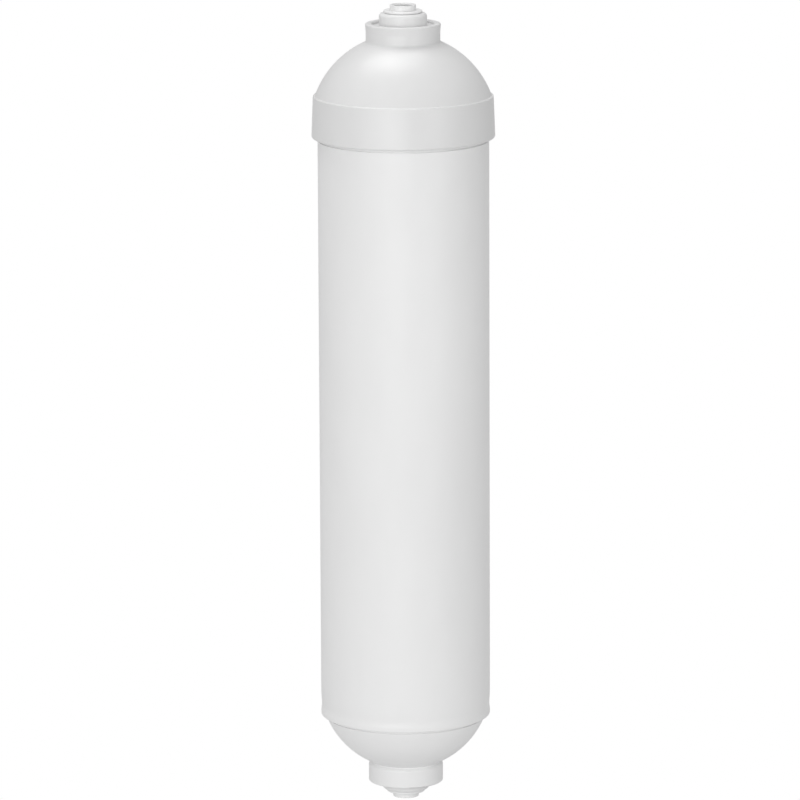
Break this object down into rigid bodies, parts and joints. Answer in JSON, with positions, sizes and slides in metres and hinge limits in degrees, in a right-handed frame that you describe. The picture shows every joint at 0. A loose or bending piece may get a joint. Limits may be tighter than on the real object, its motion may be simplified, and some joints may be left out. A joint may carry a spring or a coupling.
{
  "type": "inline water filter",
  "caption": "Sealed cylindrical inline water filter with domed ends, a welded cap, a carbon filter block inside and push-fit tube ports with sliding release collets.",
  "frame": {"origin": "on the axis, at the middle of the straight tube wall that a clip or bracket holds", "axes": "+Z along the axis, from the outlet towards the inlet and the welded cap; X and Y are equivalent"},
  "size_m": [0.0574, 0.0574, 0.2541],
  "materials": {
    "housing": "satin moulded polypropylene, white",
    "housing_cap": "satin moulded polypropylene, white",
    "port_insert": "satin moulded, white",
    "collet": "smooth moulded acetal, white",
    "teeth": "bare stainless",
    "seal": "moulded rubber, black",
    "spacer": "plain moulded",
    "carbon": "rough sintered carbon with plastic binder",
    "felt": "non-woven fibre",
    "netting": "extruded diamond netting",
    "inner_plastic": "plain moulded",
    "adhesive": "hot-melt adhesive"
  },
  "bodies": {
    "housing": {"housing_body": "housing", "end_cap": "housing_cap", "inlet_port_insert": "port_insert", "inlet_o_ring": "seal", "inlet_spacer_ring": "spacer", "outlet_port_insert": "port_insert", "outlet_o_ring": "seal", "outlet_spacer_ring": "spacer", "carbon_block": "carbon", "sediment_wrap": "felt", "outer_netting": "netting", "core_wrap": "felt", "core_screen": "inner_plastic", "inlet_cap_adhesive": "adhesive", "outlet_cap_adhesive": "adhesive", "block_inlet_cap": "inner_plastic", "block_outlet_cap": "inner_plastic", "spigot_o_ring": "seal"},
    "inlet_release": {"inlet_collet": "collet", "inlet_grip_teeth": "teeth"},
    "outlet_release": {"outlet_collet": "collet", "outlet_grip_teeth": "teeth"}
  },
  "joints": [
    {"name": "inlet_collet_slide", "type": "slide", "parent": "housing", "child": "inlet_release", "axis": [0, 0, 1], "range_m": [0, 0.0015]},
    {"name": "outlet_collet_slide", "type": "slide", "parent": "housing", "child": "outlet_release", "axis": [0, 0, -1], "range_m": [0, 0.0015]}
  ]
}
